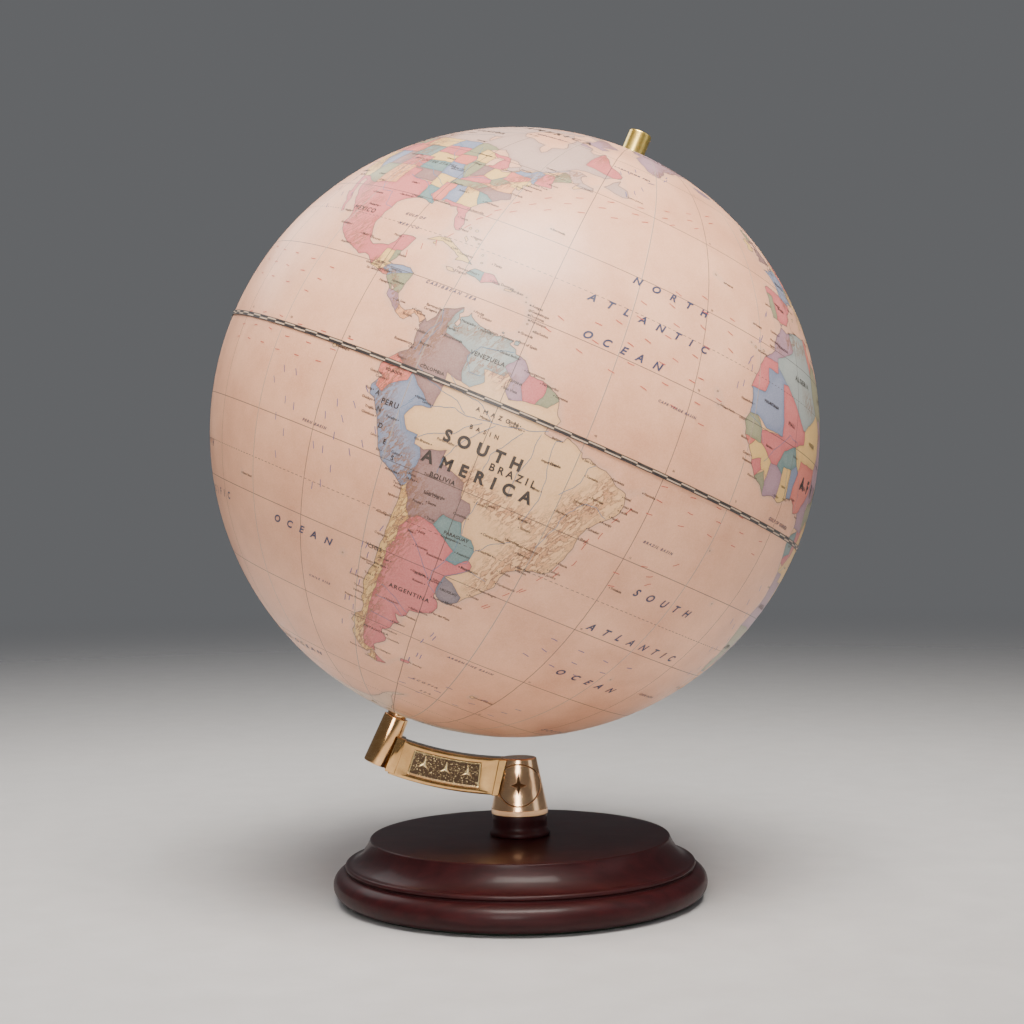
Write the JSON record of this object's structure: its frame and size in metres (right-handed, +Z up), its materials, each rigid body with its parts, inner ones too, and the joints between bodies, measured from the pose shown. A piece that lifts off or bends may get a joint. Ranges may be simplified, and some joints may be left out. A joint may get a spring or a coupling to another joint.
{
  "type": "desktop globe on stand",
  "caption": "Desktop globe: a map ball that spins on a leaning axle, held from below by a short brass arm on a round turned wooden base.",
  "frame": {"origin": "on the table under the middle of the round base, which is also the bottom centre of the whole object's box", "axes": "+Z up, the longest side; the arm, the axle and its lean lie in the X-Z plane, with the north end of the axle leaning towards +X"},
  "size_m": [0.304, 0.306, 0.3888],
  "materials": {
    "felt": "matt green-black felt",
    "dark_wood": "dark mahogany stain under semi-gloss lacquer",
    "polished_brass": "polished, faint turning marks",
    "textured_brass": "pebbled ground, darkened in the hollows",
    "zinc_steel": "zinc-plated hardware",
    "map_paper": "printed paper gores on pressed board, satin varnish",
    "equator_print": "printed paper tape, satin varnish",
    "pressed_board": "raw grey-brown board",
    "nylon": "natural moulded nylon"
  },
  "bodies": {
    "stand": {"felt_pad": "felt", "wood_base": "dark_wood", "wood_collar": "dark_wood", "base_bolt": "zinc_steel", "lock_washer": "zinc_steel", "flat_washer": "zinc_steel", "locating_pin": "zinc_steel", "brass_post": "polished_brass", "brass_arm": "polished_brass", "front_arm_panel": "textured_brass", "rear_arm_panel": "textured_brass", "arm_stud": "zinc_steel", "south_tube": "polished_brass", "tube_end_plug": "polished_brass", "tube_set_screw": "zinc_steel", "axle_rod": "zinc_steel", "spacer_ring": "polished_brass", "north_cap": "polished_brass"},
    "globe": {"northern_hemisphere": "map_paper", "southern_hemisphere": "map_paper", "northern_pole_disc": "pressed_board", "southern_pole_disc": "pressed_board", "northern_bush": "nylon", "southern_bush": "nylon", "equator_tape": "equator_print", "inner_joining_ring": "pressed_board"}
  },
  "joints": [
    {"name": "globe_spin", "type": "hinge", "parent": "stand", "child": "globe", "pos_m": [0, 0, 0.234], "axis": [0.3987, 0, 0.9171], "continuous": true}
  ]
}
